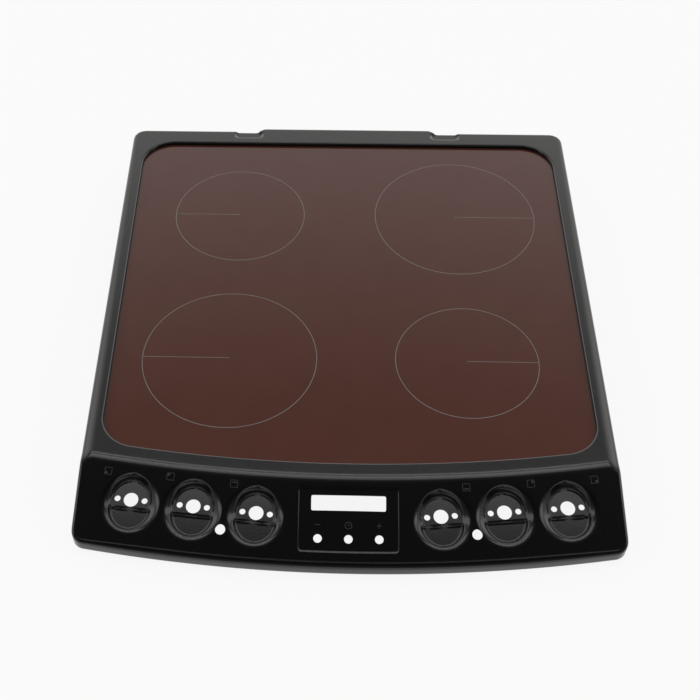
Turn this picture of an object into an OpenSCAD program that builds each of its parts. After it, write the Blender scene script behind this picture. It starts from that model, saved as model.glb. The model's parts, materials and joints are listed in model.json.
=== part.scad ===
// Ceramic hob top of a freestanding cooker: an enamelled steel pressing with a sloping
// control fascia, a bonded glass-ceramic panel, and four radiant heaters that float on
// springs over two rails.
// Inside the modules x is to the right, y to the back, and z is up from the deck. The rear
// edge of the deck is at y = 0. hob_frame() moves all that to the part's own origin, the
// middle of the bottom edge.

/* [Pressing] */
// Width across the straight sides
top_w = 550; // [500:1:700]
// Depth from the rear edge to the middle of the bowed front
top_d = 623.5; // [600:0.5:800]
// Height from the deck to the bottom edge
top_h = 49; // [46:1:64]
// Thickness of the enamelled sheet
sheet = 1.2; // [0.8:0.1:1.6]
// Radius of the bowed front, in plan
bow_r = 1600; // [1400:10:2000]
// Radius of the rear corners
rear_r = 15; // [8:1:25]
// Radius of the front corners
front_r = 14; // [8:1:20]
// How far each side flares out beside the fascia
flare_w = 4.5; // [1:0.5:8]
// Length of the flaring stretch
flare_l = 70; // [50:1:75]
// Width of the step in the rear edge
step_w = 208; // [120:1:260]
// How far that step stands back
step_d = 5.5; // [3:0.5:8]
// Radius of each bend in the step
step_r = 10; // [6:1:16]
// Width of the sloping band along a side, at the rear
band_rear = 1; // [0.5:0.5:3]
// Width of that band where it meets the fascia
band_front = 9; // [5:1:14]
// Slope of the band
band_slope = 25; // [15:1:35]
// Width of the inward flange along the bottom edge
flange_w = 14; // [12:1:20]

/* [Rear pockets] */
// Width of each pocket in the rear border
pocket_w = 34; // [20:1:50]
// Depth of each pocket, front to back
pocket_l = 11; // [6:1:14]
// How deep a pocket is pressed
pocket_deep = 2; // [1:0.5:3]
// Distance of each pocket from the middle
pocket_x = 126; // [110:1:150]

/* [Fascia] */
// Horizontal run from the edge of the deck to the front face
fascia_run = 82.5; // [78:0.5:95]
// Slope of the fascia
fascia_slope = 24; // [20:1:27]
// Radius of the ridge between deck and fascia
ridge_r = 12; // [6:1:16]
// Radius of the front lip
lip_r = 5; // [3:1:6]

/* [Knob stations] */
// Distance of each group of three stations from the middle
group_x = 157; // [150:1:190]
// Spacing of the stations within a group
station_pitch = 64.4; // [62:0.2:68]
// From the edge of the deck to the row of spindle holes
station_run = 31; // [29:0.5:33]
// Depth of a spindle hole under the fascia
station_deep = 8.3; // [7:0.1:9]
// Slope of the station's floor
station_slope = 14; // [10:1:18]
// Radius of the ends of the floor
well_r = 20.5; // [18:0.5:22]
// From the spindle hole to the riser across the floor
riser_y = 9.4; // [8:0.5:10]
// Height of that riser
riser_h = 2.7; // [1.5:0.1:3.5]
// Radius of the dish where it meets the fascia
mouth_r = 29.5; // [27:0.5:31]
// From the row of spindle holes forward to the middle of the mouth
mouth_run = 7; // [5:0.5:9]
// Depth of the flare under the mouth
mouth_deep = 7; // [5:0.5:9]
// Diameter of a spindle hole
spindle_d = 15; // [12:0.5:18]
// Diameter of a control's screw hole
screw_d = 6.2; // [4.5:0.1:7]
// Spacing of the two screw holes
screw_pitch = 28; // [26:0.5:30]

/* [Clock panel and lamps] */
// Width of the pressed clock panel
panel_w = 100; // [90:1:110]
// Length of the panel down the slope
panel_l = 64; // [58:1:66]
// From the edge of the deck to the panel's upper edge
panel_run = 9.5; // [7:0.5:12]
// How deep the panel is pressed
panel_deep = 0.8; // [0.4:0.1:1.2]
// Width of the display window
window_w = 75; // [60:1:80]
// Height of the window, down the slope
window_l = 15.5; // [12:0.5:18]
// From the edge of the deck to the middle of the window
window_run = 23; // [21:0.5:26]
// Diameter of a button hole
button_d = 8.6; // [6:0.1:10]
// Spacing of the button holes
button_pitch = 30.7; // [26:0.1:34]
// From the edge of the deck to the row of button holes
button_run = 56; // [52:0.5:60]
// Diameter of a lamp hole
lamp_d = 10.4; // [8:0.1:12]
// Distance of each lamp hole from the middle
lamp_x = 128.3; // [122:0.1:130]
// From the edge of the deck to the lamp holes
lamp_run = 53.8; // [52:0.1:60]

/* [Glass] */
// Width of the frame's border beside the glass
border_side = 17.5; // [14:0.5:24]
// Width of the border behind the glass
border_rear = 25; // [20:0.5:32]
// Width of the deck in front of the glass
border_front = 19.5; // [16:0.5:26]
// Thickness of the glass-ceramic
glass_t = 4; // [3:0.5:6]
// Depth of the glass under the deck
glass_drop = 4.5; // [3:0.5:6]
// Radius of the glass's corners
glass_r = 39; // [30:1:46]
// Thickness of the sealant under the glass and round it
seal_t = 0.8; // [0.5:0.1:1.2]
// Width of the ledge that the glass is bonded to
ledge_w = 11; // [9:1:13]

/* [Heaters] */
// Radius of a large heater's pan
pan_big = 100; // [94:1:104]
// Radius of a small heater's pan
pan_small = 82; // [76:1:86]
// From the side of the glass to the heaters' middles
zone_side = 127.5; // [122:0.5:132]
// From the back of the glass to the rear heaters' middles
zone_rear = 128; // [120:1:140]
// From the front of the glass to the front heaters' middles
zone_front = 140.5; // [130:0.5:150]
// Thickness of the pan's sheet
pan_t = 0.8; // [0.6:0.1:1]
// Height of the pan's wall
pan_h = 22; // [20:1:24]
// Thickness of the insulation under the ribbon
base_t = 10; // [9:1:12]
// Width of the insulating rim
rim_w = 12; // [9:1:14]
// How far the rim stands above the pan
rim_up = 3; // [2:0.5:4]
// Clearance between the rim and the glass
rim_gap = 0.2; // [0.1:0.1:0.4]
// Height of the heating ribbon
ribbon_h = 4; // [3:0.5:5]
// Thickness of the ribbon with its crimps
ribbon_t = 1.2; // [0.8:0.1:1.6]
// Spacing between turns of the ribbon
ribbon_pitch = 16; // [14:1:20]
// Diameter of the limiter's quartz tube
rod_d = 4.5; // [4:0.5:5]
// Length of the limiter's switch housing
switch_l = 26; // [22:1:28]
// Width of the switch housing
switch_w = 16; // [14:1:20]
// Height of the switch housing
switch_h = 11; // [9:0.5:11.5]

/* [Rails and springs] */
// Width of a rail's crown
rail_w = 24; // [20:1:30]
// Width of each foot of a rail
rail_foot = 10; // [9:1:14]
// Thickness of a rail's sheet
rail_t = 1.2; // [1:0.1:1.6]
// Height of the springs at rest
spring_h = 8.5; // [7:0.5:10]
// Outer diameter of a spring
spring_d = 9; // [8:0.5:12]
// Diameter of the spring's wire
spring_wire = 1; // [0.8:0.1:1.2]
// Distance of a spring from its heater's middle
spring_x = 55; // [45:1:60]
// Diameter of the stud inside a spring
stud_d = 4; // [3:0.5:5]
// Radial clearance round a stud
stud_gap = 0.6; // [0.4:0.1:1]

/* [Hidden] */
$fn = 96;
BIG = 900;
// Overlap that lets two joined solids share volume, and cutters pass through
EPS = 0.6;
SIDES = [-1, 1];

// Plan: the bowed front turns about a far vertical axis behind the hob
axis_y = bow_r - top_d;
deck_r = bow_r - fascia_run;
half_w = top_w / 2 + flare_w;
deck_front = axis_y - deck_r;
step_a = acos(1 - step_d / (2 * step_r));

// Height of the fascia's slope at a radius, and the front lip's centre
function slope_z(r) = -(r - deck_r) * tan(fascia_slope);
ridge_c = deck_r - ridge_r * tan(fascia_slope / 2);
lip_c = [bow_r - lip_r, slope_z(bow_r - lip_r) - lip_r / cos(fascia_slope)];

// Glass, its rebate and the ledge
glass_hw = top_w / 2 - border_side;
glass_front_r = deck_r - border_front;
glass_front = axis_y - glass_front_r;
glass_bottom = -glass_drop - glass_t;
ledge_top = glass_bottom - seal_t;

// Heights in a heater, from the glass down to the rail
rim_top = glass_bottom - rim_gap;
pan_bottom = rim_top - rim_up - pan_h;
base_bottom = pan_bottom + pan_t;
base_top = base_bottom + base_t;
rod_z = (base_top + ribbon_h + rim_top) / 2;
rod_hole = rod_d + 1.6;
rail_top = pan_bottom - spring_h;
rail_low = -top_h + sheet;
lug_t = 1.2;
lug_l = 29;
lug_z = rod_z - switch_h * 0.7 - lug_t;

// Each heater: its name, side, depth, pan radius and turns of ribbon
zone_x = glass_hw - zone_side;
row_y = [-border_rear - zone_rear, glass_front + zone_front];
ZONES = [
    ["rear_left", -zone_x, row_y[0], pan_small, 3],
    ["rear_right", zone_x, row_y[0], pan_big, 4],
    ["front_left", -zone_x, row_y[1], pan_big, 4],
    ["front_right", zone_x, row_y[1], pan_small, 3]
];
RAILS = [["rear_rail", row_y[0]], ["front_rail", row_y[1]]];
PIECES = ["pan", "base", "rim", "ribbon", "limiter_rod", "limiter_switch",
    "terminal_block", "terminal_tabs", "springs"];

module hob_frame() translate([0, (top_d - step_d) / 2, top_h]) children();

// Points of an arc about c, from angle a0 to a1, in n steps
function arc(c, r, a0, a1, n) =
    [for (k = [0:n]) let (a = a0 + (a1 - a0) * k / n) c + r * [cos(a), sin(a)]];
function mirrored(pts) = [for (k = [len(pts) - 1:-1:0]) [-pts[k][0], pts[k][1]]];

// ---- Pressing -------------------------------------------------------------------------

// Plan outline, moved in by i, clockwise from the rear middle. Its front runs past the bow.
module outline(i) {
    right = concat(
        arc([step_w / 2, step_d - step_r], step_r - i, 90, 90 - step_a, 6),
        arc([step_w / 2 + 2 * step_r * sin(step_a), step_r], step_r + i, 270 - step_a, 270, 6),
        arc([top_w / 2 - rear_r, -rear_r], rear_r - i, 90, 0, 8),
        [
            [top_w / 2 - i, deck_front + band_front * 3],
            [half_w - i, deck_front + band_front * 3 - flare_l],
            [half_w - i, -top_d - fascia_run]
        ]
    );
    polygon(concat(right, mirrored(right)));
}

// What rounds a front corner: the wedge beyond the corner's arc
module corner_cut(i) {
    cx = half_w - front_r;
    c = [cx, axis_y - sqrt(pow(bow_r - front_r, 2) - cx * cx)];
    u = [cx, c[1] - axis_y] / (bow_r - front_r);
    difference() {
        polygon([c, c + [front_r * 4, 0], c + [front_r * 4, -front_r * 4], c + u * front_r * 4]);
        translate(c) circle(r = front_r - i);
    }
}

// The whole plan, moved in by i
module plan(i) intersection() {
    difference() {
        outline(i);
        corner_cut(i);
        mirror([1, 0]) corner_cut(i);
    }
    translate([0, axis_y]) circle(r = bow_r - i, $fn = 720);
}

// Flange turned inwards along the whole bottom edge, rooted in the skirt's wall
module bottom_flange() translate([0, 0, -top_h]) linear_extrude(sheet) difference() {
    plan(sheet / 2);
    intersection() {
        translate([-top_w / 2 + flange_w, -top_d]) square([top_w - 2 * flange_w, top_d - flange_w]);
        translate([0, axis_y]) circle(r = bow_r - flange_w, $fn = 720);
    }
}

// Deck, ridge, fascia and lip in one turned profile, moved in by i and open to the bottom z
module turned_top(i, bottom) {
    profile = concat(
        [[deck_r / 2, bottom], [deck_r / 2, -i]],
        arc([ridge_c, -ridge_r], ridge_r - i, 90, 90 - fascia_slope, 5),
        arc(lip_c, lip_r - i, 90 - fascia_slope, 0, 8),
        [[bow_r - i, bottom]]
    );
    translate([0, axis_y, 0]) rotate([0, 0, -115])
        rotate_extrude(angle = 50, $fn = 720) polygon(profile);
}

// What slopes the band along the right side
module band_cut(i) translate([top_w / 2 - band_rear, 0, -i / cos(band_slope)])
    rotate([0, band_slope, -atan((band_front - band_rear) / -deck_front)])
        translate([0, -BIG, 0]) cube([60, BIG + 60, 60]);

// The whole pressing as a solid block, moved in by i, down to the bottom z
module block(i, bottom) difference() {
    intersection() {
        translate([0, 0, bottom]) linear_extrude(-bottom + EPS) difference() {
            outline(i);
            corner_cut(i);
            mirror([1, 0]) corner_cut(i);
        }
        turned_top(i, bottom - EPS);
    }
    band_cut(i);
    mirror([1, 0, 0]) band_cut(i);
}

// Outline of the glass, grown by g: straight sides, round corners and a bowed front
module glass_outline(g) {
    hw = glass_hw + g;
    r = glass_r + g;
    fr = glass_front_r + g;
    cx = hw - r;
    cy = axis_y - sqrt(pow(fr - r, 2) - cx * cx);
    tilt = asin(cx / (fr - r));
    right = concat(
        arc([cx, -border_rear - glass_r], r, 90, 0, 10),
        arc([cx, cy], r, 0, -90 + tilt, 10),
        arc([0, axis_y], fr, -90 + tilt, -90, 12)
    );
    polygon(concat(right, mirrored(right)));
}

// From the bow's axis, a place on the fascia at angle a and a run from the deck's edge,
// with z square to a floor of the given slope
module on_fascia(a, run, drop, slope)
    translate([0, axis_y, 0]) rotate([0, 0, a])
        translate([0, -deck_r - run, slope_z(deck_r + run) - drop]) rotate([slope, 0, 0])
            children();

function bow_angle(x, run) = asin(x / (deck_r + run));

// Each station of the six: group angle and offset along the group's straight row
STATIONS = [for (s = SIDES) for (k = [-1, 0, 1]) [s * bow_angle(group_x, station_run), k * station_pitch]];

module at_stations() for (st = STATIONS)
    translate([0, axis_y, 0]) rotate([0, 0, st[0]]) translate([st[1], 0, 0])
        children();

// The frame of a station's floor, with the spindle hole at its origin
module floor_frame() translate([0, -deck_r - station_run, slope_z(deck_r + station_run) - station_deep])
    rotate([station_slope, 0, 0]) children();

// The frame of a station's mouth, on the fascia
module mouth_frame() translate([0, -deck_r - station_run - mouth_run, slope_z(deck_r + station_run + mouth_run)])
    rotate([fascia_slope, 0, 0]) children();

// A station's hollow, grown by g on every side
module dish(g) {
    floor_frame() {
        translate([0, 0, -g]) cylinder(r = well_r + g, h = station_deep * 2.4);
        translate([0, -riser_y - g, -riser_h - g]) intersection() {
            cylinder(r = well_r + g, h = station_deep * 2.4);
            translate([-BIG / 2, -BIG, -EPS]) cube([BIG, BIG + 2 * g, BIG]);
        }
    }
    mouth_frame() translate([0, 0, -mouth_deep - g])
        cylinder(r1 = well_r - 2 + g, r2 = mouth_r + g + (mouth_r - well_r + 2) * g / mouth_deep,
            h = mouth_deep + 2 * g);
}

module station_holes() floor_frame() {
    translate([0, 0, -sheet - EPS * 4]) cylinder(d = spindle_d, h = sheet + EPS * 8);
    for (s = SIDES) translate([s * screw_pitch / 2, 0, -sheet - EPS * 4])
        cylinder(d = screw_d, h = sheet + EPS * 8);
}

module clock_panel(g) on_fascia(0, panel_run, 0, fascia_slope)
    translate([-panel_w / 2 - g, -panel_l - g, -panel_deep - g])
        cube([panel_w + 2 * g, panel_l + 2 * g, panel_deep * 4 + g]);

module clock_holes() {
    on_fascia(0, window_run, 0, fascia_slope) cube([window_w, window_l, 20], center = true);
    for (k = [-1, 0, 1]) on_fascia(bow_angle(k * button_pitch, button_run), button_run, 0, fascia_slope)
        cylinder(d = button_d, h = 20, center = true);
}

module lamp_holes() for (s = SIDES)
    on_fascia(s * bow_angle(lamp_x, lamp_run), lamp_run, 0, fascia_slope)
        cylinder(d = lamp_d, h = 20, center = true);

module pockets(g) for (s = SIDES)
    translate([s * pocket_x - pocket_w / 2 - g, -border_rear / 2 + 5 - pocket_l / 2 - g, -pocket_deep - g])
        cube([pocket_w + 2 * g, pocket_l + 2 * g, pocket_deep * 3 + g]);

module hob_pressing() color([0.13, 0.13, 0.14]) hob_frame() difference() {
    union() {
        difference() {
            block(0, -top_h);
            block(sheet, -top_h - EPS);
        }
        bottom_flange();
        // wall and ledge of the rebate
        translate([0, 0, ledge_top - sheet]) linear_extrude(-ledge_top + sheet / 2)
            glass_outline(seal_t + sheet);
        intersection() {
            block(0, -top_h);
            union() {
                at_stations() dish(sheet);
                clock_panel(sheet);
                pockets(sheet);
            }
        }
    }
    translate([0, 0, ledge_top]) linear_extrude(-ledge_top + EPS) glass_outline(seal_t);
    translate([0, 0, ledge_top - sheet - EPS]) linear_extrude(sheet + 2 * EPS) glass_outline(-ledge_w);
    at_stations() {
        dish(0);
        station_holes();
    }
    clock_panel(0);
    clock_holes();
    lamp_holes();
    pockets(0);
}

// ---- Glass ----------------------------------------------------------------------------

module glass_panel() color([0.30, 0.18, 0.15]) hob_frame()
    translate([0, 0, glass_bottom]) linear_extrude(glass_t) glass_outline(0);

module glass_seal() color([0.05, 0.05, 0.05]) hob_frame()
    translate([0, 0, ledge_top]) difference() {
        linear_extrude(-ledge_top - glass_drop) glass_outline(seal_t);
        translate([0, 0, seal_t]) linear_extrude(glass_t + EPS) glass_outline(0);
        translate([0, 0, -EPS]) linear_extrude(seal_t + 2 * EPS) glass_outline(-ledge_w);
    }

// ---- Rails ----------------------------------------------------------------------------

// Half the length of a rail, and where its screws and feet lie
rail_half = top_w / 2 - sheet - 0.3;
screw_x = top_w / 2 - flange_w / 2;
foot_y = rail_w / 2 + rail_foot / 2;

module rail(y) color([0.62, 0.63, 0.64]) hob_frame() translate([0, y, 0]) difference() {
    translate([-rail_half, 0, 0]) rotate([90, 0, 90]) linear_extrude(2 * rail_half) difference() {
        union() {
            translate([-rail_w / 2, rail_low]) square([rail_w, rail_top - rail_low]);
            translate([-rail_w / 2 - rail_foot, rail_low]) square([rail_w + 2 * rail_foot, rail_t]);
        }
        translate([-rail_w / 2 + rail_t, rail_low - EPS])
            square([rail_w - 2 * rail_t, rail_top - rail_low - rail_t + EPS]);
    }
    for (s = SIDES) for (f = SIDES) translate([s * screw_x, f * foot_y, rail_low - EPS])
        cylinder(d = 4.4, h = rail_t + 2 * EPS);
}

module rail_screws() color([0.75, 0.76, 0.78]) hob_frame()
    for (r = RAILS) for (s = SIDES) for (f = SIDES) translate([s * screw_x, r[1] + f * foot_y, rail_low + rail_t])
        difference() {
            union() {
                cylinder(d = 7.4, h = 2.2);
                translate([0, 0, -rail_t]) cylinder(d = 4.2, h = rail_t + EPS);
            }
            for (a = [0, 90]) rotate([0, 0, a]) translate([-2.2, -0.5, 1.2]) cube([4.4, 1, 2]);
        }

module spring_studs() color([0.70, 0.71, 0.72]) hob_frame()
    for (z = ZONES) for (s = SIDES) translate([z[1] + s * spring_x, z[2], rail_top])
        cylinder(d = stud_d, h = spring_h + pan_t + 0.5);

module earth_tab() color([0.72, 0.62, 0.30]) hob_frame()
    translate([0, row_y[0] + foot_y - 3.2, rail_low + rail_t]) {
        cube([16, 6.3, 0.8]);
        translate([15.2, 0, 0]) cube([0.8, 6.3, 6]);
    }

// ---- Heaters --------------------------------------------------------------------------

function inward(z) = z[1] < 0 ? 0 : 180;
function terminal_angle(z) = inward(z) + 50 * sign(z[1]) * (z[2] > row_y[1] ? 1 : -1);

module at_zone(z, a = 0) hob_frame() translate([z[1], z[2], 0]) rotate([0, 0, a]) children();

module lug(r, w) translate([r - 3, -w / 2, lug_z]) cube([lug_l + 3, w, lug_t]);

module pan(z) color([0.72, 0.73, 0.74]) at_zone(z) difference() {
    union() {
        translate([0, 0, pan_bottom]) cylinder(r = z[3], h = pan_h);
        rotate([0, 0, inward(z)]) lug(z[3], switch_w);
        rotate([0, 0, terminal_angle(z)]) lug(z[3], switch_w + 8);
    }
    translate([0, 0, base_bottom]) cylinder(r = z[3] - pan_t, h = pan_h + EPS);
    for (s = SIDES) translate([s * spring_x, 0, pan_bottom - EPS])
        cylinder(d = stud_d + 2 * stud_gap, h = pan_t + 2 * EPS);
    rotate([0, 0, inward(z)]) translate([z[3] - 4, -rod_hole / 2, rod_z - rod_hole / 2])
        cube([8, rod_hole, pan_h]);
    rotate([0, 0, terminal_angle(z)]) translate([z[3] - 4, -3, base_top]) cube([8, 6, 4]);
}

module base(z) color([0.86, 0.84, 0.78]) at_zone(z) difference() {
    translate([0, 0, base_bottom]) cylinder(r = z[3] - pan_t, h = base_t);
    for (s = SIDES) translate([s * spring_x, 0, base_bottom - EPS])
        cylinder(d = stud_d + 2 * stud_gap + 1, h = base_t * 0.6 + EPS);
}

module rim(z) color([0.90, 0.88, 0.80]) at_zone(z) difference() {
    translate([0, 0, base_top]) cylinder(r = z[3] - pan_t, h = rim_top - base_top);
    translate([0, 0, base_top - EPS]) cylinder(r = z[3] - pan_t - rim_w, h = pan_h);
    translate([0, 0, rod_z]) rotate([0, 90, inward(z)]) cylinder(d = rod_hole, h = BIG / 4);
    rotate([0, 0, terminal_angle(z)]) translate([0, -3, base_top - EPS]) cube([BIG / 4, 6, 4 + EPS]);
}

// Points of a spiral that loses one pitch each turn, from radius r inwards
function spiral(r, turns) = [for (k = [0:36 * turns])
    (r - ribbon_pitch * k / 36) * [cos(k * 10), sin(k * 10)]];
function backwards(pts) = [for (k = [len(pts) - 1:-1:0]) pts[k]];

// A strip on edge along a spiral, from the terminal's side inwards
module ribbon(z) color([0.55, 0.45, 0.38]) at_zone(z, terminal_angle(z))
    translate([0, 0, base_top]) linear_extrude(ribbon_h)
        polygon(concat(spiral(ribbon_out(z), z[4]), backwards(spiral(ribbon_out(z) - ribbon_t, z[4]))));

function ribbon_out(z) = z[3] - pan_t - rim_w - ribbon_pitch / 2;

module limiter_rod(z) color([0.85, 0.85, 0.82]) at_zone(z, inward(z))
    translate([-z[3] * 0.6, 0, rod_z]) rotate([0, 90, 0]) cylinder(d = rod_d, h = z[3] * 1.6 + 3);

module limiter_switch(z) color([0.92, 0.90, 0.84]) at_zone(z, inward(z)) {
    translate([z[3] + 3, -switch_w / 2, lug_z + lug_t]) cube([switch_l, switch_w, switch_h]);
    translate([z[3] + 3 + switch_l * 0.25, -switch_w / 4, lug_z + lug_t + switch_h])
        cube([switch_l * 0.5, switch_w / 2, 0.8]);
}

module terminal_block(z) color([0.93, 0.91, 0.85]) at_zone(z, terminal_angle(z))
    translate([z[3] + 2, -switch_w / 2 - 4, lug_z + lug_t]) cube([14, switch_w + 8, switch_h - 2]);

module terminal_tabs(z) color([0.74, 0.66, 0.40]) at_zone(z, terminal_angle(z))
    for (s = SIDES) translate([z[3] + 16, s * 6.5 - 3.15, lug_z + lug_t + 4]) cube([10, 6.3, 0.8]);

// A round wire swept along a helix that starts and ends on the seats
module coil(r, wire, h, turns) {
    n = 14;
    k = 6;
    rings = n * turns;
    rise = h - wire;
    pts = [for (i = [0:rings]) let (a = i * 360 / n) for (j = [0:k - 1]) let (b = j * 360 / k)
        [(r + wire / 2 * cos(b)) * cos(a), (r + wire / 2 * cos(b)) * sin(a),
            wire / 2 + rise * i / rings + wire / 2 * sin(b)]];
    skin = [for (i = [0:rings - 1]) for (j = [0:k - 1]) let (m = (j + 1) % k)
        [i * k + j, (i + 1) * k + j, (i + 1) * k + m, i * k + m]];
    polyhedron(pts, concat(skin, [[for (j = [0:k - 1]) j]], [[for (j = [k - 1:-1:0]) rings * k + j]]));
}

module springs(z) color([0.60, 0.61, 0.63]) at_zone(z)
    for (s = SIDES) translate([s * spring_x, 0, rail_top + 0.05])
        coil((spring_d - spring_wire) / 2, spring_wire, spring_h - 0.15, 4);

// ---- Assembly -------------------------------------------------------------------------

hob_pressing();
glass_panel();
glass_seal();
rail_screws();
spring_studs();
earth_tab();
for (r = RAILS) rail(r[1]);
for (z = ZONES) {
    pan(z);
    base(z);
    rim(z);
    ribbon(z);
    limiter_rod(z);
    limiter_switch(z);
    terminal_block(z);
    terminal_tabs(z);
    springs(z);
}
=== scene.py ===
"""Visual model of a bare ceramic cooker hob: an enamelled pressing, its bonded glass and the heaters."""

import sys

import json
import logging
import math
from dataclasses import dataclass
from enum import Enum

import bpy
import numpy as np
from mathutils import Matrix, Vector
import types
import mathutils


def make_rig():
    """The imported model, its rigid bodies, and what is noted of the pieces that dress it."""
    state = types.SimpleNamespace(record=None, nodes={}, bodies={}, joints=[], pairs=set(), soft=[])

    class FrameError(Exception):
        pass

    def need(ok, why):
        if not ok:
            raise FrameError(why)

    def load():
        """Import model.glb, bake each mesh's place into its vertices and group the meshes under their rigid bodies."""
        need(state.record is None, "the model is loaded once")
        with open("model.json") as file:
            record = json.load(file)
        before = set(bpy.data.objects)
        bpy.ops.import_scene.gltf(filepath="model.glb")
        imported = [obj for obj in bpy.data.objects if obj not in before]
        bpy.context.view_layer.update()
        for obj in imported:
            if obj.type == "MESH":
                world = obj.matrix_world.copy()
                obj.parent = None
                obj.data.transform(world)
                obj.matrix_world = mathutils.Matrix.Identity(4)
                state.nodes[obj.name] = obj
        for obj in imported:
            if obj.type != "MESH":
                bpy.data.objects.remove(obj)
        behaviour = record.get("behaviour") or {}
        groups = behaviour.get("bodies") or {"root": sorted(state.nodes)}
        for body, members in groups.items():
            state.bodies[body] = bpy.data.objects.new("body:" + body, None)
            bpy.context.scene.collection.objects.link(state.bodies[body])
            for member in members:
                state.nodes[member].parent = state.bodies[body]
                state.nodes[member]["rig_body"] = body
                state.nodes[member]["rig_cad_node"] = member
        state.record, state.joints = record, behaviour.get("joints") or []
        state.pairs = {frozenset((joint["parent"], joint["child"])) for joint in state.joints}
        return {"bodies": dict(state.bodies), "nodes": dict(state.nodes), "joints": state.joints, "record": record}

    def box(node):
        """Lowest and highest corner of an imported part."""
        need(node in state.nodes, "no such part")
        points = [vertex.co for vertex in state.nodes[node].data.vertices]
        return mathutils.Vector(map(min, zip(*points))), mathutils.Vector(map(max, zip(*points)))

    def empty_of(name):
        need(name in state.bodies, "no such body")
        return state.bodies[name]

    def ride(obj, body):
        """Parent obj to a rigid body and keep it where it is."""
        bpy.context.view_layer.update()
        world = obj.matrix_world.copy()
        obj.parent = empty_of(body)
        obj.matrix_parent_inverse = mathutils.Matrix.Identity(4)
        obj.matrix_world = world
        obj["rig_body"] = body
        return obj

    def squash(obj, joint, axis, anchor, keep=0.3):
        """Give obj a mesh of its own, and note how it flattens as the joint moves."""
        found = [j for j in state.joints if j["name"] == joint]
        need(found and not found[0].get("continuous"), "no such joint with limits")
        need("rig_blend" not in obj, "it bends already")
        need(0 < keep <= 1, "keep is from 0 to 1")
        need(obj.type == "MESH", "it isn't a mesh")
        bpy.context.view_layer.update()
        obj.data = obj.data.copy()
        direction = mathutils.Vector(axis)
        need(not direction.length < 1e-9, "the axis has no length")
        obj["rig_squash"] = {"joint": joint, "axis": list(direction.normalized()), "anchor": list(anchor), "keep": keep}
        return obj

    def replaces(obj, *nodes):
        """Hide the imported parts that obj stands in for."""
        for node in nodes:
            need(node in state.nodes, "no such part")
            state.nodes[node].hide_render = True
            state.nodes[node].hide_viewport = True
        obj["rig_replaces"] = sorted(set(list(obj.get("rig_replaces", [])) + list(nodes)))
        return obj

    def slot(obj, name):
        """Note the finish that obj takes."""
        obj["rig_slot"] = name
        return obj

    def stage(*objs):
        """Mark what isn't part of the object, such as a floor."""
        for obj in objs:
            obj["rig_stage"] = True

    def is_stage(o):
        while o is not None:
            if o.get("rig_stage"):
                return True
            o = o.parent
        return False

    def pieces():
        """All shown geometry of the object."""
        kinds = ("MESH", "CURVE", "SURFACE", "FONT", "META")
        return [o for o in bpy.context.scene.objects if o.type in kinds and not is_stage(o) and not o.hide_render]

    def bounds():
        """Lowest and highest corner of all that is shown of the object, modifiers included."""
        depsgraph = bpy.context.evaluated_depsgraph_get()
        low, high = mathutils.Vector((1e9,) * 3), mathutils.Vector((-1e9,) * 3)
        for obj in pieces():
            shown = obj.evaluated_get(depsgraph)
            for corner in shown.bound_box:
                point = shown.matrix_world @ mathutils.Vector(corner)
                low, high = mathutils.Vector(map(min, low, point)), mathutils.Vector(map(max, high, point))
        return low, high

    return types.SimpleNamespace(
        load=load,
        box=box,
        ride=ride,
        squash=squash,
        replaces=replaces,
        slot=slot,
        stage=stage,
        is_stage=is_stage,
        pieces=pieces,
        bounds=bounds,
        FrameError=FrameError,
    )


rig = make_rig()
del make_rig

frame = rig.load()
CAD_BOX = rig.bounds()

LOG = logging.getLogger("hob")
SIZE_FILE = "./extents.json"
MM = 0.001
TOP_BODY = "hob_top"
ZONES = ("rear_left", "rear_right", "front_left", "front_right")


# ---- Shader maths -----------------------------------------------------------------------


class Value:
    """A number that flows between shader nodes, so that shader maths reads as arithmetic."""

    def __init__(self, recipe: "Recipe", socket: bpy.types.NodeSocket) -> None:
        """Keeps the socket and the recipe that its next node goes into."""
        self.recipe = recipe
        self.socket = socket

    def _join(self, operation: str, first: object, second: object) -> "Value":
        """Adds one Math node.

        Args:
            operation: the Math node's operation.
            first: its first value, a number or a Value.
            second: its second value.

        Returns:
            The node's result.
        """
        return self.recipe.node("ShaderNodeMath", {"operation": operation}, {0: first, 1: second})

    def __add__(self, other: object) -> "Value":
        """Sum."""
        return self._join("ADD", self, other)

    __radd__ = __add__

    def __mul__(self, other: object) -> "Value":
        """Product."""
        return self._join("MULTIPLY", self, other)

    __rmul__ = __mul__

    def __sub__(self, other: object) -> "Value":
        """Difference."""
        return self._join("SUBTRACT", self, other)

    def __rsub__(self, other: object) -> "Value":
        """Reflected difference, so that 1 - mask works."""
        return self._join("SUBTRACT", other, self)

    def lift(self, low: float, high: float, start: float = 0.0, end: float = 1.0) -> "Value":
        """Maps low..high onto start..end, held at both ends."""
        ports = {0: self, 1: low, 2: high, 3: start, 4: end}
        return self.recipe.node("ShaderNodeMapRange", {"clamp": True}, ports)


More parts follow.
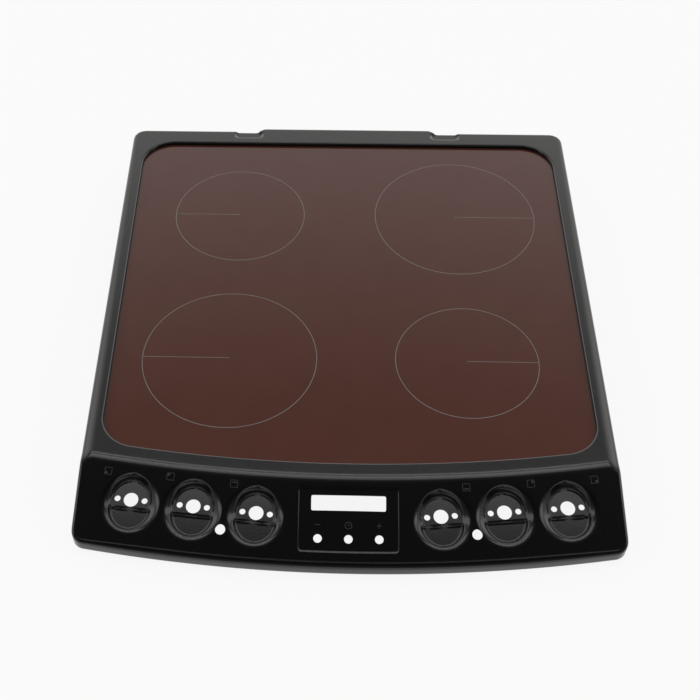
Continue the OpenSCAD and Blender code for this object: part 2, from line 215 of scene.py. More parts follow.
class Recipe:
    """One material's or the world's node tree."""

    def __init__(self, tree: bpy.types.NodeTree) -> None:
        """Empties the tree."""
        self.tree = tree
        tree.nodes.clear()

    def node(self, kind: str, settings: dict, ports: dict, out: object = 0) -> Value:
        """Adds one node of any type.

        Args:
            kind: the node's type.
            settings: what is set on the node itself before its sockets.
            ports: a value, colour or Value for each input, by name or index.
            out: the output that is handed back, by name or index.

        Returns:
            That output.
        """
        made = self.tree.nodes.new(kind)
        for name, setting in settings.items():
            setattr(made, name, setting)
        for port, given in ports.items():
            if isinstance(given, Value):
                self.tree.links.new(given.socket, made.inputs[port])
            else:
                made.inputs[port].default_value = given
        return Value(self, made.outputs[out])

    def place(self, stretch: tuple[float, float, float] = (1, 1, 1)) -> Value:
        """The piece's own coordinates in metres, stretched along its axes."""
        spot = self.node("ShaderNodeTexCoord", {}, {}, "Object")
        return self.node("ShaderNodeMapping", {}, {"Vector": spot, "Scale": stretch})

    def noise(self, where: Value, scale: float, detail: float = 3.0) -> Value:
        """Soft noise from 0 to 1, with scale features to the metre."""
        return self.node("ShaderNodeTexNoise", {}, {"Vector": where, "Scale": scale, "Detail": detail})

    def blend(self, share: object, first: object, second: object) -> Value:
        """Mixes two colours by a share."""
        ports = {0: share, 6: first, 7: second}
        return self.node("ShaderNodeMix", {"data_type": "RGBA"}, ports, 2)

    def finish(self, kind: str, shader: Value) -> None:
        """Links a shader to the output node of the given kind."""
        self.tree.links.new(shader.socket, self.tree.nodes.new(kind).inputs["Surface"])


class Grain(Enum):
    """What the surface of a finish shows up close."""

    PEEL = "orange peel of fired enamel"
    SPANGLE = "zinc crystals"
    FIBRE = "pressed fibre"
    DRAWN = "drawn or rolled lines"
    CAST = "fine cast skin"


@dataclass(frozen=True)
class Finish:
    """One finish: its two colours, its gloss and its grain."""

    name: str
    colour: tuple[float, float, float]
    second: tuple[float, float, float]
    rough: float
    spread: float
    grain: Grain
    scale: float
    relief: float
    metal: float = 0.0
    coat: float = 0.0
    level: float = 0.5

    def make(self) -> bpy.types.Material:
        """Builds the material.

        Colour runs between the two colours with the grain; roughness runs with a broad noise,
        as handling and firing leave it; the relief is the grain's own height in metres.

        Returns:
            The material.
        """
        stuff = bpy.data.materials.new(self.name)
        stuff.use_nodes = True
        mix = Recipe(stuff.node_tree)
        where = mix.place()
        if self.grain is Grain.SPANGLE:
            cells = mix.node("ShaderNodeTexVoronoi", {}, {"Vector": where, "Scale": self.scale}, "Color")
            split = mix.node("ShaderNodeSeparateColor", {}, {"Color": cells})
            grain = split * 0.7 + 0.3 * mix.noise(where, self.scale * 6)
        elif self.grain is Grain.FIBRE:
            long = mix.noise(mix.place((1, 0.18, 1)), self.scale)
            grain = long * 0.6 + 0.4 * mix.noise(mix.place((0.2, 1, 1)), self.scale * 1.7)
        elif self.grain is Grain.DRAWN:
            grain = mix.noise(mix.place((0.03, 1, 1)), self.scale, 5.0)
        elif self.grain is Grain.CAST:
            grain = mix.noise(where, self.scale, 6.0)
        else:
            specks = mix.noise(where, self.scale * 7, 1.0).lift(0.56, 0.74)
            grain = specks * 0.8 + 0.2 * mix.noise(where, self.scale * 0.4)
        broad = mix.noise(where, 18.0, 2.0)
        shade = mix.blend(grain.lift(0.25, 0.75), (*self.colour, 1), (*self.second, 1))
        rough = self.rough + (broad - 0.5) * self.spread + (grain - 0.5) * (self.spread * 0.5)
        skin = mix.noise(where, self.scale, 2.0) if self.grain is Grain.PEEL else grain
        bump = mix.node("ShaderNodeBump", {}, {"Strength": 1.0, "Distance": self.relief, "Height": skin})
        ports = {"Base Color": shade, "Roughness": rough, "Metallic": self.metal, "Coat Weight": self.coat,
                 "Coat Roughness": 0.08, "Specular IOR Level": self.level, "Normal": bump}
        body = mix.node("ShaderNodeBsdfPrincipled", {}, ports)
        mix.finish("ShaderNodeOutputMaterial", body)
        return stuff


ENAMEL = Finish("black_enamel", (0.0028, 0.0028, 0.0031), (0.0085, 0.0085, 0.0088), 0.20, 0.05,
                Grain.PEEL, 420.0, 0.000010, coat=0.25)
GLASS = Finish("hob_glass", (0.076, 0.0180, 0.0098), (0.083, 0.0215, 0.0120), 0.12, 0.03,
               Grain.CAST, 30.0, 0.0000006)
SEALANT = Finish("black_sealant", (0.008, 0.008, 0.008), (0.018, 0.017, 0.016), 0.55, 0.10,
                 Grain.CAST, 900.0, 0.00002)
GALVANISED = Finish("galvanised_sheet", (0.42, 0.44, 0.45), (0.60, 0.62, 0.63), 0.36, 0.12,
                    Grain.SPANGLE, 260.0, 0.000006, metal=1.0)
ZINC = Finish("zinc_plated_steel", (0.55, 0.56, 0.58), (0.70, 0.70, 0.70), 0.27, 0.10,
              Grain.CAST, 1400.0, 0.000006, metal=1.0)
SPRING = Finish("spring_steel", (0.36, 0.36, 0.37), (0.50, 0.50, 0.50), 0.30, 0.08,
                Grain.DRAWN, 2400.0, 0.000004, metal=1.0)
BRASS = Finish("tinned_brass", (0.58, 0.55, 0.46), (0.68, 0.66, 0.60), 0.30, 0.10,
               Grain.CAST, 1200.0, 0.000006, metal=1.0)
INSULATION = Finish("fibre_insulation", (0.68, 0.65, 0.58), (0.80, 0.78, 0.72), 0.93, 0.06,
                    Grain.FIBRE, 900.0, 0.00016)
RIBBON = Finish("resistance_alloy", (0.13, 0.115, 0.10), (0.22, 0.19, 0.165), 0.46, 0.12,
                Grain.DRAWN, 1800.0, 0.000010, metal=1.0)
QUARTZ = Finish("quartz_tube", (0.62, 0.62, 0.60), (0.74, 0.74, 0.72), 0.12, 0.05,
                Grain.CAST, 500.0, 0.000004, coat=0.5)
STEATITE = Finish("steatite", (0.70, 0.67, 0.60), (0.80, 0.78, 0.73), 0.52, 0.10,
                  Grain.CAST, 1600.0, 0.00002)
PRINT = Finish("grey_print", (0.16, 0.145, 0.135), (0.21, 0.195, 0.185), 0.40, 0.05,
               Grain.CAST, 2500.0, 0.000002)
PALE_PRINT = Finish("pale_print", (0.055, 0.055, 0.055), (0.075, 0.075, 0.075), 0.42, 0.05,
                    Grain.CAST, 2500.0, 0.000002)

NODE_FINISH = {
    "glass_panel": GLASS, "glass_seal": SEALANT, "rail_screws": ZINC, "spring_studs": ZINC,
    "earth_tab": BRASS, "rear_rail": GALVANISED, "front_rail": GALVANISED,
}
PART_FINISH = {
    "pan": GALVANISED, "base": INSULATION, "rim": INSULATION, "ribbon": RIBBON, "limiter_rod": QUARTZ,
    "limiter_switch": STEATITE, "terminal_block": STEATITE, "terminal_tabs": BRASS,
}


# ---- Surfaces ---------------------------------------------------------------------------


def quads(rows: int, columns: int, closed: bool = False) -> np.ndarray:
    """Faces of a grid.

    Args:
        rows: rows of points.
        columns: points in a row.
        closed: whether the last column joins the first.

    Returns:
        One row of four indices for each face.
    """
    r = np.arange(rows - 1)[:, None]
    c = np.arange(columns if closed else columns - 1)[None, :]
    after = (c + 1) % columns
    return np.stack([r * columns + c, r * columns + after, (r + 1) * columns + after,
                     (r + 1) * columns + c], -1).reshape(-1, 4)


def vertex_normals(points: np.ndarray, faces: np.ndarray) -> np.ndarray:
    """Unit normals, each the sum of the cross products of its faces' diagonals."""
    a, b, c, d = (points[faces[:, k]] for k in range(4))
    face = np.cross(c - a, d - b)
    total = np.zeros_like(points)
    for k in range(4):
        np.add.at(total, faces[:, k], face)
    return total / np.maximum(np.linalg.norm(total, axis=1, keepdims=True), 1e-12)


def compact(points: np.ndarray, faces: np.ndarray) -> tuple[np.ndarray, np.ndarray]:
    """Leaves out the points that no face uses."""
    used, fresh = np.unique(faces, return_inverse=True)
    return points[used], fresh.reshape(faces.shape)


def walled(points: np.ndarray, faces: np.ndarray, wall: float) -> tuple[np.ndarray, np.ndarray]:
    """Gives a surface a wall.

    The second skin is the first one moved back along its normals by the wall, and every open edge
    of the first skin gets a face that joins it to the second.

    Args:
        points: the outer skin's points.
        faces: its faces, outwards.
        wall: the wall's thickness.

    Returns:
        Points and faces of the closed shell.
    """
    inner = points - wall * vertex_normals(points, faces)
    edges = np.concatenate([faces[:, [k, (k + 1) % 4]] for k in range(4)])
    key = np.sort(edges, axis=1)
    code = key[:, 0] * np.int64(len(points)) + key[:, 1]
    _, first, count = np.unique(code, return_index=True, return_counts=True)
    rim = edges[first[count == 1]]
    step = len(points)
    side = np.stack([rim[:, 1], rim[:, 0], rim[:, 0] + step, rim[:, 1] + step], -1)
    return np.concatenate([points, inner]), np.concatenate([faces, faces[:, ::-1] + step, side])


def piece(name: str, points: np.ndarray, faces: np.ndarray, finish: bpy.types.Material,
          crease: float = 40.0) -> bpy.types.Object:
    """Makes one object from arrays in the row frame, in metres.

    Args:
        name: the piece's name.
        points: its points.
        faces: its faces, as rows of indices.
        finish: its material.
        crease: angle in degrees past which an edge stays sharp.

    Returns:
        The object, linked into the scene.
    """
    mesh = bpy.data.meshes.new(name)
    mesh.from_pydata(points.tolist(), [], faces.tolist())
    mesh.polygons.foreach_set("use_smooth", np.ones(len(mesh.polygons), bool))
    mesh.set_sharp_from_angle(angle=math.radians(crease))
    mesh.materials.append(finish)
    made = bpy.data.objects.new(name, mesh)
    bpy.context.scene.collection.objects.link(made)
    LOG.info("%s: %d faces", name, len(faces))
    return made


def soft_min(a: np.ndarray, b: np.ndarray, radius: float) -> np.ndarray:
    """The lower of two heights, with the crossing rounded over about the given radius."""
    share = np.clip(0.5 + (b - a) / (2 * radius), 0, 1)
    return b + (a - b) * share - radius * share * (1 - share)


def soft_max(a: np.ndarray, b: np.ndarray, radius: float) -> np.ndarray:
    """The higher of two heights, with the crossing rounded."""
    return -soft_min(-a, -b, radius)


def ease(t: np.ndarray) -> np.ndarray:
    """Smooth step: 0 before 0, 1 after 1, and three t squared less two t cubed between."""
    t = np.clip(t, 0, 1)
    return t * t * (3 - 2 * t)


def arc(centre: tuple[float, float], radius: float, start: float, end: float, count: int) -> np.ndarray:
    """Points on an arc, from start to end in degrees."""
    a = np.radians(np.linspace(start, end, count))
    return np.stack([centre[0] + radius * np.cos(a), centre[1] + radius * np.sin(a)], -1)


def line(first: np.ndarray, last: np.ndarray, count: int) -> np.ndarray:
    """Evenly spaced points from first to last."""
    t = np.linspace(0, 1, count)[:, None]
    return np.asarray(first) * (1 - t) + np.asarray(last) * t


def along(path: np.ndarray, count: int) -> np.ndarray:
    """A path's points respaced evenly by length."""
    run = np.concatenate([[0], np.cumsum(np.linalg.norm(np.diff(path, axis=0), axis=1))])
    want = np.linspace(0, run[-1], count)
    return np.stack([np.interp(want, run, path[:, k]) for k in (0, 1)], -1)


def outward(path: np.ndarray) -> np.ndarray:
    """Unit normals to the left of a closed clockwise path, smoothed over three points."""
    tangent = np.roll(path, -1, axis=0) - np.roll(path, 1, axis=0)
    tangent /= np.maximum(np.linalg.norm(tangent, axis=1, keepdims=True), 1e-12)
    return np.stack([-tangent[:, 1], tangent[:, 0]], -1)


def mirrored(path: np.ndarray) -> np.ndarray:
    """A path turned over to the left side and run backwards."""
    return path[::-1] * np.array([-1.0, 1.0])


# ---- The pressing -----------------------------------------------------------------------


@dataclass
class Pressing:
    """The enamelled steel pressing: deck, ridge, fascia with its knob dishes, skirt and flange.

    Sizes are in millimetres, with x to the right, y to the back from the rear edge and z up from
    the deck.
    """

    width: float = 550.0
    depth: float = 623.5
    height: float = 49.0
    sheet: float = 1.2
    bow: float = 1600.0
    rear_round: float = 15.0
    front_round: float = 14.0
    flare: float = 4.5
    flare_run: float = 70.0
    step_width: float = 208.0
    step_out: float = 5.5
    step_round: float = 10.0
    band_rear: float = 1.0
    band_front: float = 9.0
    band_slope: float = 25.0
    band_blend: float = 2.2
    fascia_run: float = 82.5
    fascia_slope: float = 24.0
    ridge_round: float = 27.0
    lip_round: float = 6.0
    edge_round: float = 3.2
    inset: float = 7.0
    seam_run: float = 12.5
    cell: float = 0.80
    glass_half: float = 257.5
    glass_front: float = 1498.0
    glass_rear: float = 25.0
    glass_round: float = 39.0
    gap: float = 0.8
    ledge: float = 11.0
    ledge_drop: float = 9.3
    group_x: float = 157.0
    pitch: float = 64.4
    station_run: float = 31.0
    station_deep: float = 8.3
    station_slope: float = 14.0
    well: float = 20.5
    riser_y: float = 9.4
    riser_drop: float = 2.7
    mouth: float = 29.5
    mouth_run: float = 7.0
    mouth_deep: float = 7.0
    spindle: float = 7.5
    screw: float = 3.1
    screw_pitch: float = 28.0
    panel: tuple[float, float, float, float] = (100.0, 64.0, 9.5, 0.8)
    window: tuple[float, float, float] = (75.0, 15.5, 23.0)
    buttons: tuple[float, float, float] = (4.3, 30.7, 56.0)
    lamps: tuple[float, float, float] = (5.2, 128.3, 53.8)
    pockets: tuple[float, float, float, float] = (34.0, 11.0, 2.0, 126.0)
    panel_corner: float = 3.0
    panel_edge: float = 1.4
    pocket_corner: float = 4.5
    pocket_edge: float = 2.6
    pocket_back: float = 5.0
    window_corner: float = 1.6
    riser_edge: float = 1.5
    wall_edge: float = 2.0
    floor_edge: float = 3.4
    mouth_edge: float = 2.3
    rebate_roll: float = 2.0
    hem_roll: float = 1.8
    hem: tuple[float, float] = (7.0, 12.5)
    split: float = 58.0
    front_count: int = 360
    cheek_count: int = 112
    ring_steps: int = 23
    cone_rounds: int = 9
    column_counts: tuple[int, int, int, int] = (180, 31, 80, 16)
    skin: bpy.types.Material | None = None

    def __post_init__(self) -> None:
        """Works out what follows from the sizes."""
        self.axis = self.bow - self.depth
        self.deck = self.bow - self.fascia_run
        self.half = self.width / 2 + self.flare
        self.fall = math.tan(math.radians(self.fascia_slope))
        self.crest = self.deck - self.ridge_round * math.tan(math.radians(self.fascia_slope / 2))
        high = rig.box("hob_pressing")[1]
        self.lift = np.array([0.0, high.y / MM - self.step_out, high.z / MM])
        turn = math.asin(self.group_x / (self.deck + self.station_run))
        self.stations = [(s * turn, k * self.pitch) for s in (-1, 1) for k in (-1, 0, 1)]

    def to_row(self, points: np.ndarray) -> np.ndarray:
        """Points in the row frame, in metres."""
        return (points + self.lift) * MM

    def slope(self, r: np.ndarray) -> np.ndarray:
        """Height of the fascia's cone at a distance from the bow's axis."""
        return -(r - self.deck) * self.fall

    def crown(self, x: np.ndarray, y: np.ndarray) -> np.ndarray:
        """Height of deck, ridge, fascia and side bands, before anything is pressed into them.

        The deck is flat as far as the ridge, which is an arc of a circle; the fascia falls from it
        as a cone about the bow's axis; and a plane along each side falls outwards from a line that
        runs in from the edge towards the front. The lower one counts, with its crossing rounded.
        """
        r = np.hypot(x, y - self.axis)
        into = np.clip(r - self.crest, 0, self.ridge_round * math.sin(math.radians(self.fascia_slope)))
        ridge = np.sqrt(self.ridge_round ** 2 - into ** 2) - self.ridge_round
        top = np.where(r > self.crest + into, self.slope(r), ridge)
        deck_front = self.axis - self.deck
        share = (self.band_front - self.band_rear) / -deck_front
        out = np.abs(x) - (self.width / 2 - self.band_rear + share * y)
        band = -out * math.tan(math.radians(self.band_slope))
        return soft_min(top, band, self.band_blend)

    def height_at(self, x: np.ndarray, y: np.ndarray) -> np.ndarray:
        """Height of the finished top at any place in plan.

        Each knob dish is the higher of a cone from the mouth and a floor of two levels, and it
        counts where it lies under the fascia. The clock panel and the rear pockets are sunk by
        their depth inside a rounded box.
        """
        z = self.crown(x, y)
        for turn, offset in self.stations:
            z = self.dished(x, y, z, turn, offset)
        length, run = self.panel[1], self.panel[2]
        r = np.hypot(x, y - self.axis)
        inside = self.rounded_box(x, r - (self.deck + run + length * self.cos / 2),
                                  self.panel[0] / 2, length * self.cos / 2, self.panel_corner)
        z = z - self.panel[3] * ease(0.5 - inside / self.panel_edge)
        wide, long, deep, off = self.pockets
        inside = self.rounded_box(np.abs(x) - off, y + self.glass_rear / 2 - self.pocket_back,
                                  wide / 2, long / 2, self.pocket_corner)
        return z - deep * ease(0.5 - inside / self.pocket_edge)

    @property
    def cos(self) -> float:
        """Cosine of the fascia's slope."""
        return math.cos(math.radians(self.fascia_slope))

    @staticmethod
    def rounded_box(x: np.ndarray, y: np.ndarray, half_x: float, half_y: float, r: float) -> np.ndarray:
        """Distance outside a box with rounded corners, negative inside."""
        dx, dy = np.abs(x) - half_x + r, np.abs(y) - half_y + r
        return np.hypot(np.maximum(dx, 0), np.maximum(dy, 0)) + np.minimum(np.maximum(dx, dy), 0) - r

    def station_plane(self, x: np.ndarray, y: np.ndarray, turn: float,
                      offset: float) -> tuple[np.ndarray, np.ndarray]:
        """Sideways and backwards distance from a spindle hole, in the station's own direction."""
        c, s = math.cos(turn), math.sin(turn)
        dx, dy = x, y - self.axis
        return dx * c + dy * s - offset, -dx * s + dy * c + self.deck + self.station_run

    def dished(self, x: np.ndarray, y: np.ndarray, z: np.ndarray, turn: float,
               offset: float) -> np.ndarray:
        """Presses one knob dish into the heights z.

        The cone stands square to the fascia, so its height over a place in plan is found by
        working out its distance and its height in turn until they agree.
        """
        u, v = self.station_plane(x, y, turn, offset)
        near = np.hypot(u, v + self.mouth_run) < self.mouth * 1.5
        u, v = u[near], v[near]
        start = self.slope(self.deck + self.station_run) - self.station_deep
        front = ease((-self.riser_y - v) / self.riser_edge + 0.5)
        floor = start + v * math.tan(math.radians(self.station_slope)) - self.riser_drop * front
        edge = np.hypot(u, v + self.riser_y * front) - self.well
        mouth_z = self.slope(self.deck + self.station_run + self.mouth_run)
        back = v + self.mouth_run
        sin = math.sin(math.radians(self.fascia_slope))
        grade = self.mouth_deep / (self.mouth - self.well + 2)
        cone = z[near]
        for _ in range(self.cone_rounds):
            reach = np.hypot(u, back * self.cos + (cone - mouth_z) * sin)
            tall = (reach - self.mouth) * grade
            cone = mouth_z + (tall + back * sin) / self.cos
        wall = soft_max(cone, floor, self.wall_edge)
        bowl = floor + (wall - floor) * ease(edge / self.floor_edge + 0.5)
        z = z.copy()
        z[near] = soft_min(z[near], bowl, self.mouth_edge)
        return z

    def outline(self) -> tuple[np.ndarray, np.ndarray]:
        """The plan of the pressing's right half, clockwise from the rear middle.

        Returns:
            The back and side down to the front corner's middle; the front from there to the
            middle of the bow.
        """
        a = math.degrees(math.acos(1 - self.step_out / (2 * self.step_round)))
        far = self.step_width / 2 + 2 * self.step_round * math.sin(math.radians(a))
        front = self.axis - self.deck + self.band_front * 3
        cx = self.half - self.front_round
        cy = self.axis - math.sqrt((self.bow - self.front_round) ** 2 - cx * cx)
        lean = math.degrees(math.asin(cx / (self.bow - self.front_round)))
        middle = (lean - 90) / 2
        back = np.concatenate([
            line((0, self.step_out), (self.step_width / 2, self.step_out), 90),
            arc((self.step_width / 2, self.step_out - self.step_round), self.step_round, 90, 90 - a, 12),
            arc((far, self.step_round), self.step_round, 270 - a, 270, 12),
            arc((self.width / 2 - self.rear_round, -self.rear_round), self.rear_round, 90, 0, 16),
            [(self.width / 2, front), (self.half, front - self.flare_run)],
            arc((cx, cy), self.front_round, 0, middle, 10),
        ])
        ahead = np.concatenate([
            arc((cx, cy), self.front_round, middle, lean - 90, 10),
            arc((0, self.axis), self.bow, lean - 90, -90, 200),
        ])
        return back, ahead

    def columns(self, side: np.ndarray, spread: np.ndarray) -> tuple[np.ndarray, np.ndarray]:
        """Pairs each place on the glass outline with its place on the deck's outer line.

        Along the straight runs the two share x or y, along the bow they share their angle, and
        round the corners both are spaced evenly.

        Args:
            side: the outer line from the rear middle to the front corner of the deck.
            spread: the line between deck and fascia, from its right end to the middle.

        Returns:
            The glass outline and the outer line, both for the right half.
        """
        cx = self.glass_half - self.glass_round
        cy = self.axis - math.sqrt((self.glass_front - self.glass_round) ** 2 - cx * cx)
        lean = math.asin(cx / (self.glass_front - self.glass_round))
        top = -self.glass_rear
        rear, turn, flank, near = self.column_counts
        run = np.concatenate([[0], np.cumsum(np.linalg.norm(np.diff(side, axis=0), axis=1))])
        start = line((0, top), (cx, top), rear)
        bend = arc((cx, top - self.glass_round), self.glass_round, 90, 0, turn)
        edge = line((self.glass_half, top - self.glass_round), (self.glass_half, cy), flank)
        middle = -90 + math.degrees(lean)
        first = arc((cx, cy), self.glass_round, 0, middle / 2, near)
        angle = np.arcsin(spread[:, 0] / np.hypot(spread[:, 0], spread[:, 1] - self.axis))
        past = angle > lean
        last = arc((cx, cy), self.glass_round, middle / 2, middle, int(past.sum()) + 1)
        bow = angle[~past]
        ahead = np.stack([np.sin(bow), -np.cos(bow)], -1) * self.glass_front + [0, self.axis]
        inner = np.concatenate([start[:-1], bend[:-1], edge[:-1], first[:-1], last[:-1], ahead])
        across = np.interp(start[:, 0], side[:, 0], run)
        down = np.interp(-edge[:, 1], -side[:, 1], run)
        spots = np.concatenate([across[:-1], np.linspace(across[-1], down[0], turn)[:-1], down[:-1],
                                np.linspace(down[-1], run[-1], near)[:-1]])
        outer = np.stack([np.interp(spots, run, side[:, k]) for k in (0, 1)], -1)
        return inner, np.concatenate([outer, spread])

    def build(self) -> list[bpy.types.Object]:
        """Makes the deck, the three parts of the fascia and the skirt.

        The parts meet in shared lines of points. The deck is a ring between the glass's rebate
        and the line where the skirt's roll starts; the fascia is a patch blended from its four
        edges; and the skirt carries one profile along the whole outline.
        """
        back, ahead = self.outline()
        right = np.concatenate([back, ahead[1:]])
        loop = np.concatenate([right, mirrored(right)[1:-1]])
        inner = loop - self.inset * outward(loop)
        count = len(back)
        whole = inner[:len(right)]
        seam_r = self.deck - self.seam_run
        r = np.hypot(whole[:, 0], whole[:, 1] - self.axis)
        cut = int(np.argmax((r > seam_r) & (np.arange(len(r)) > 100)))
        t = (seam_r - r[cut - 1]) / (r[cut] - r[cut - 1])
        corner = whole[cut - 1] * (1 - t) + whole[cut] * t
        side = np.concatenate([whole[:cut], [corner]])
        cheek = along(np.concatenate([[corner], whole[cut:count]]), self.cheek_count)
        front = along(whole[count - 1:], self.front_count)
        spread = self.front_spread(corner, seam_r)
        glass_line, outer = self.columns(side, spread)
        flank = outer[:len(outer) - len(spread) + 1]
        half = np.concatenate([flank, cheek[1:], front[1:]])
        ring = self.deck_ring(glass_line, outer)
        return ring + self.fascia(cheek, front, spread) + self.skirt(*self.widened(half))

    def deck_ring(self, base: np.ndarray, outer: np.ndarray) -> list:
        """The deck as a ring, from the rebate's ledge out to the skirt and the fascia.

        A column runs outwards from each point of the glass outline: ledge, wall, rolled edge and
        then the deck at its height in plan, in even steps to the outer line.
        """
        outer = np.concatenate([outer, mirrored(outer)[1:-1]])
        base = np.concatenate([base, mirrored(base)[1:-1]])
        away = outward(base)
        roll = self.rebate_roll
        lap = np.radians(np.linspace(0, 90, 6))
        steps = [(-self.ledge, -self.ledge_drop), (self.gap - self.sheet, -self.ledge_drop),
                 (self.gap - 0.3, -self.ledge_drop + 0.3), (self.gap, -self.ledge_drop + self.sheet)]
        steps += [(self.gap + roll * (1 - math.cos(a)), roll * (math.sin(a) - 1)) for a in lap]
        rows = [np.column_stack([base + away * out, np.full(len(base), z)]) for out, z in steps]
        first = rows[-1][:, :2]
        for t in np.linspace(0, 1, self.ring_steps)[1:]:
            spot = first * (1 - t) + outer * t
            rows.append(np.column_stack([spot, self.height_at(spot[:, 0], spot[:, 1])]))
        faces = quads(len(rows), len(base), True)
        points, faces = walled(self.to_row(np.concatenate(rows)), faces, self.sheet * MM)
        return [piece("pressing_deck", points, faces, self.skin)]

    def widened(self, half: np.ndarray) -> tuple[np.ndarray, np.ndarray]:
        """The outline outside the right half's inset line, and that line, both all round."""
        inner = np.concatenate([half, mirrored(half)[1:-1]])
        return inner + self.inset * outward(inner), inner

    def front_spread(self, corner: np.ndarray, seam_r: float) -> np.ndarray:
        """Points along the line between deck and fascia, from its right end to the middle."""
        reach = math.asin(corner[0] / seam_r)
        a = np.linspace(reach, 0, self.front_count)
        return np.stack([seam_r * np.sin(a), self.axis - seam_r * np.cos(a)], -1)

    def fascia(self, cheek: np.ndarray, front: np.ndarray, spread: np.ndarray) -> list:
        """The fascia in three parts, with its dishes, panel and holes.

        A point of the patch is the sum of the two blends between facing edges, less the blend of
        its four corners, and its height is that of the top in plan.
        """
        near = np.concatenate([spread, mirrored(spread)[1:]])[::-1]
        far = np.concatenate([front, mirrored(front)[1:]])[::-1]
        left = mirrored(cheek)[::-1]
        u = np.linspace(0, 1, len(near))[None, :, None]
        v = np.linspace(0, 1, len(cheek))[:, None, None]
        ruled = (1 - v) * near[None] + v * far[None] + (1 - u) * left[:, None] + u * cheek[:, None]
        ruled -= ((1 - v) * ((1 - u) * near[0] + u * near[-1]) + v * ((1 - u) * far[0] + u * far[-1]))
        grid = ruled.reshape(-1, 2)
        faces = quads(len(cheek), len(near))[:, ::-1]
        grid, faces = self.pierced(grid, faces)
        points = np.column_stack([grid, self.height_at(grid[:, 0], grid[:, 1])])
        column = faces.min(axis=1) % len(near)
        third = np.interp([-self.split, self.split], near[:, 0], np.arange(len(near))).round()
        parts = np.digitize(column, third)
        made = []
        for k, name in enumerate(("left", "middle", "right")):
            part_points, part_faces = compact(points, faces[parts == k])
            part_points, part_faces = walled(self.to_row(part_points), part_faces, self.sheet * MM)
            made.append(piece(f"pressing_fascia_{name}", part_points, part_faces, self.skin))
        return made

    def pierced(self, grid: np.ndarray, faces: np.ndarray) -> tuple[np.ndarray, np.ndarray]:
        """Cuts the holes out of the patch.

        Points within three quarters of a cell of a hole's edge move onto it along the distance's
        own slope, and the faces whose middle lay inside the hole are left out.
        """
        distance = self.hole_distance(grid)
        step = 0.02
        slope = np.stack([
            self.hole_distance(grid + [step, 0]) - self.hole_distance(grid - [step, 0]),
            self.hole_distance(grid + [0, step]) - self.hole_distance(grid - [0, step]),
        ], -1) / (2 * step)
        close = np.abs(distance) < 0.75 * self.cell
        shift = slope * (distance / np.maximum((slope ** 2).sum(1), 1e-9))[:, None]
        moved = grid - np.where(close[:, None], shift, 0)
        return moved, faces[distance[faces].mean(axis=1) > 0]

    def hole_distance(self, grid: np.ndarray) -> np.ndarray:
        """Distance of places in plan from the nearest hole's edge, negative inside it."""
        x, y = grid[:, 0], grid[:, 1]
        tilt = math.cos(math.radians(self.station_slope))
        best = np.full(len(grid), 1e3)
        for turn, offset in self.stations:
            u, v = self.station_plane(x, y, turn, offset)
            best = np.minimum(best, np.hypot(u, v / tilt) - self.spindle)
            best = np.minimum(best, np.hypot(np.abs(u) - self.screw_pitch / 2, v / tilt) - self.screw)
        for size, off, run, spots in ((*self.buttons, (-1, 0, 1)), (*self.lamps, (-1, 1))):
            for k in spots:
                turn = k * math.asin(off / (self.deck + run))
                c, s = math.cos(turn), math.sin(turn)
                u = x * c + (y - self.axis) * s
                v = -x * s + (y - self.axis) * c + self.deck + run
                best = np.minimum(best, np.hypot(u, v / self.cos) - size)
        wide, long, run = self.window
        v = (y - self.axis + self.deck + run) / self.cos
        return np.minimum(best, self.rounded_box(x, v, wide / 2, long / 2, self.window_corner))

    def skirt(self, loop: np.ndarray, inner: np.ndarray) -> list:
        """The rolled edge, the side band and the flange, one profile along the whole outline.

        From the inset line the profile keeps the top's height to the start of the roll, turns
        through a quarter circle to upright, falls to the bottom and turns inwards.
        """
        away = outward(loop)
        start = self.height_at(inner[:, 0], inner[:, 1])
        ahead = ease((-loop[:, 1] - self.depth + 30) / 20)
        turn = self.edge_round + (self.lip_round - self.edge_round) * ahead
        begin = loop - away * turn[:, None]
        level = self.height_at(begin[:, 0], begin[:, 1])
        rows = [np.column_stack([inner, start])]
        for t in (0.35, 0.7, 0.9):
            spot = inner * (1 - t) + begin * t
            rows.append(np.column_stack([spot, self.height_at(spot[:, 0], spot[:, 1])]))
        for a in np.radians(np.linspace(0, 90, 8)):
            spot = loop - away * (turn * (1 - math.sin(a)))[:, None]
            rows.append(np.column_stack([spot, level - turn * (1 - math.cos(a))]))
        low, hem = -self.height, self.hem_roll
        side = rows[-1][:, 2]
        for t in (0.3, 0.7, 1.0):
            rows.append(np.column_stack([loop, side * (1 - t) + (low + hem) * t]))
        for a in np.radians(np.linspace(30, 90, 3)):
            spot = loop - away * (hem * (1 - math.cos(a)))
            rows.append(np.column_stack([spot, np.full(len(loop), low + hem * (1 - math.sin(a)))]))
        for back in self.hem:
            rows.append(np.column_stack([loop - away * back, np.full(len(loop), low)]))
        faces = quads(len(rows), len(loop), True)
        points, faces = walled(self.to_row(np.concatenate(rows)), faces, self.sheet * MM)
        return [piece("pressing_skirt", points, faces, self.skin)]


# ---- Prints -----------------------------------------------------------------------------


